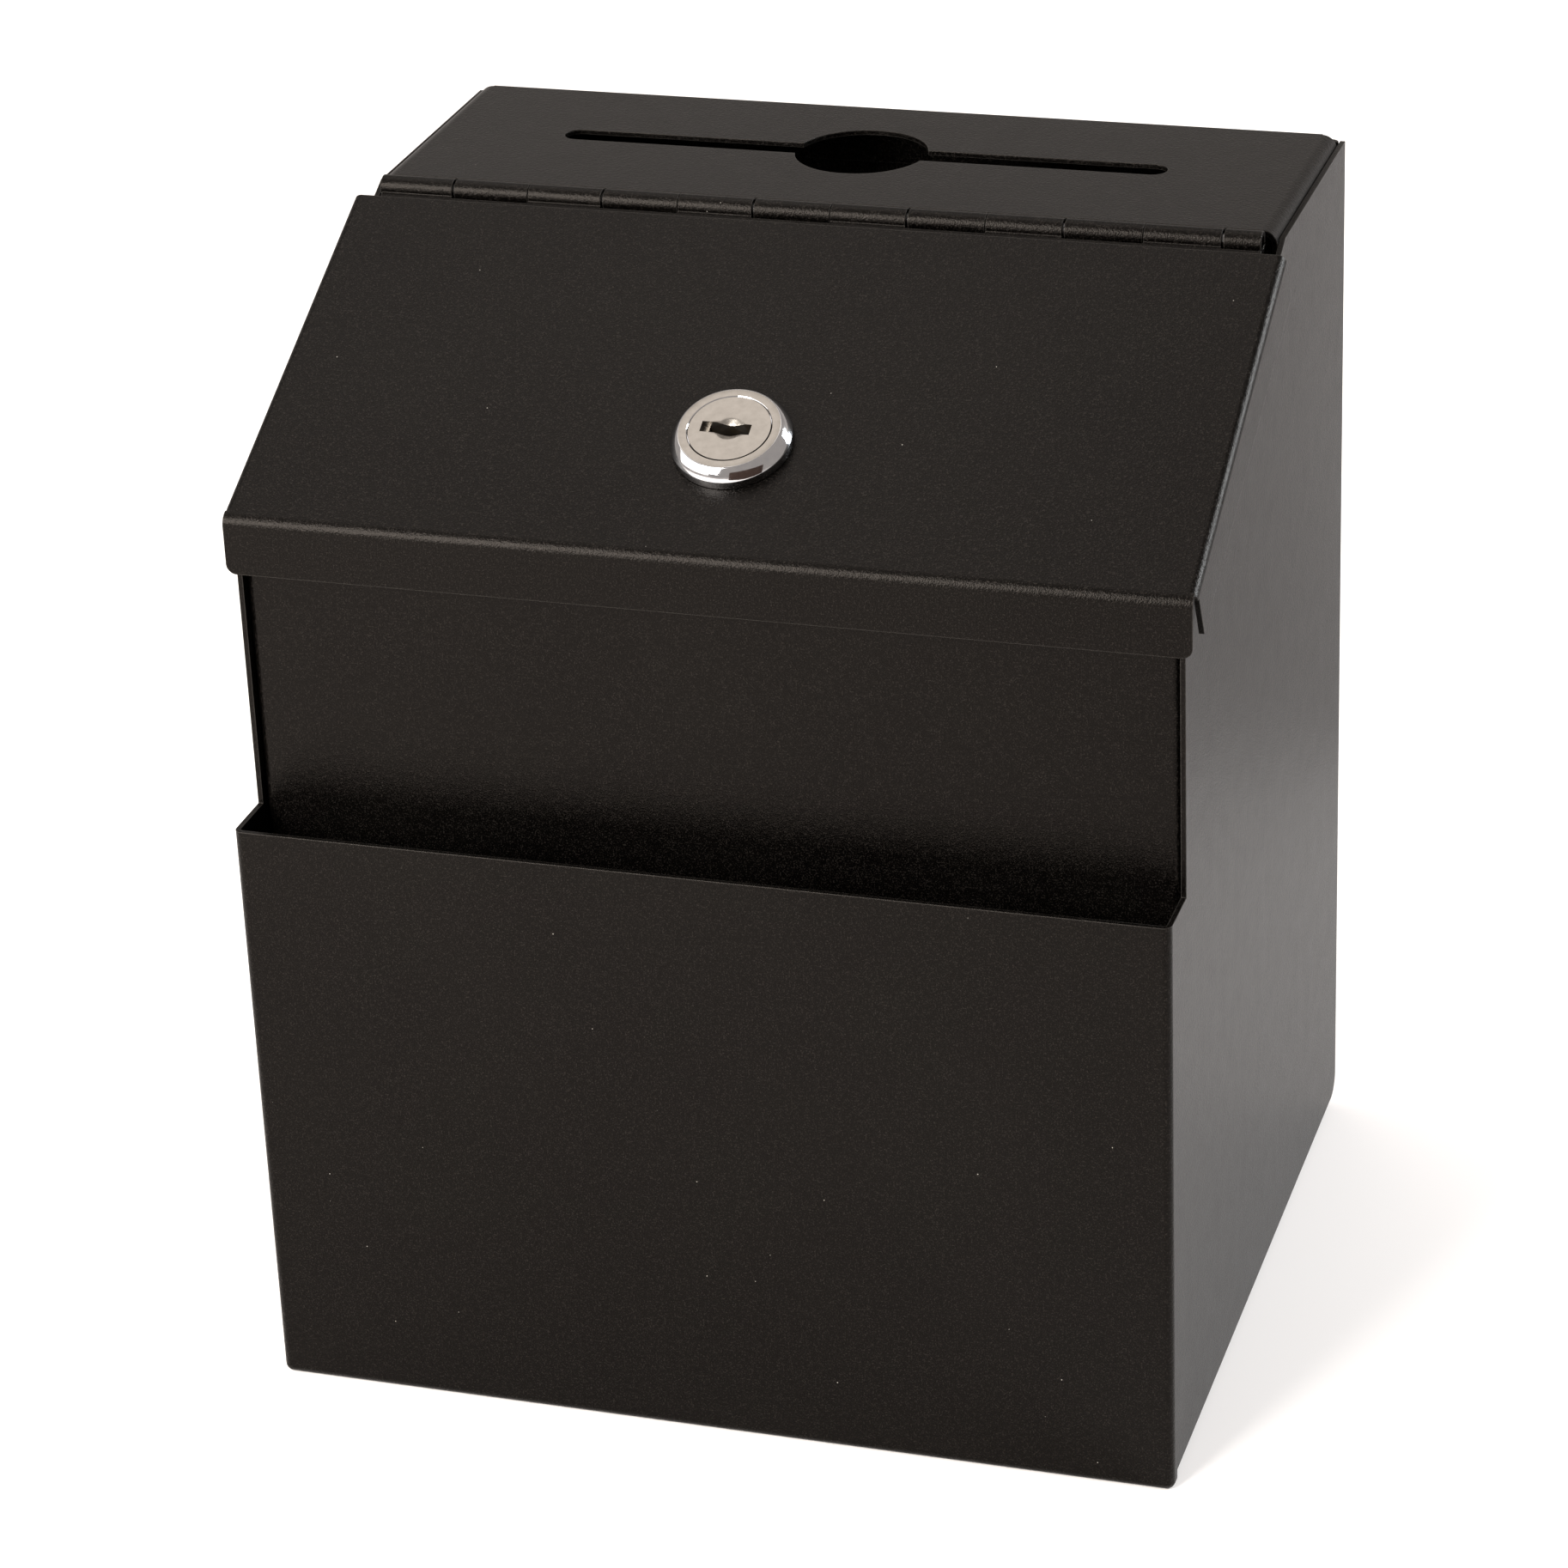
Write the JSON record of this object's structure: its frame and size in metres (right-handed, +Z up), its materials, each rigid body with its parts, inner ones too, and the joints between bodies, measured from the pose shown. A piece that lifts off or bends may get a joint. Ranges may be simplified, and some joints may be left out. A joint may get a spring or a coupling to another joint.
{
  "type": "donation box",
  "caption": "Lockable sheet-steel donation box with a sloping hinged lid, a note slot and coin hole in its flat top, and an open leaflet pocket across the front.",
  "frame": {"origin": "on the table under the centre of the box's overall width and depth", "axes": "+Z up, -Y out of the front with the leaflet pocket, +X to the right seen from the front"},
  "size_m": [0.1836, 0.153, 0.2172],
  "materials": {
    "black_powder_coat": "black textured powder coat",
    "pin_steel": "dark drawn wire",
    "bright_chrome": "polished chrome",
    "satin_nickel": "satin nickel",
    "wafer_brass": "stamped brass",
    "spring_bronze": "drawn bronze wire",
    "zinc_plate": "bright zinc plate"
  },
  "bodies": {
    "box": {"outer_wrap": "black_powder_coat", "inner_front_panel": "black_powder_coat", "back_panel": "black_powder_coat", "top_panel": "black_powder_coat", "hinge_top_leaf": "black_powder_coat", "hinge_pin": "pin_steel"},
    "lid": {"lid": "black_powder_coat", "hinge_lid_leaf": "black_powder_coat", "lock_housing": "bright_chrome", "lock_washer": "zinc_plate", "lock_nut": "zinc_plate"},
    "lock_plug": {"lock_plug": "satin_nickel", "wafer_1": "wafer_brass", "wafer_2": "wafer_brass", "wafer_3": "wafer_brass", "wafer_4": "wafer_brass", "wafer_5": "wafer_brass", "wafer_springs": "spring_bronze", "stop_washer": "zinc_plate", "cam": "zinc_plate", "cam_spring_washer": "zinc_plate", "cam_screw": "zinc_plate"}
  },
  "joints": [
    {"name": "lid_hinge", "type": "hinge", "parent": "box", "child": "lid", "pos_m": [0, 0.015, 0.21505], "axis": [-1, 0, 0], "range_deg": [0, 160]},
    {"name": "lock_turn", "type": "hinge", "parent": "lid", "child": "lock_plug", "pos_m": [0, -0.03975, 0.18996], "axis": [0, 0.4384, -0.8988], "range_deg": [0, 90]}
  ]
}
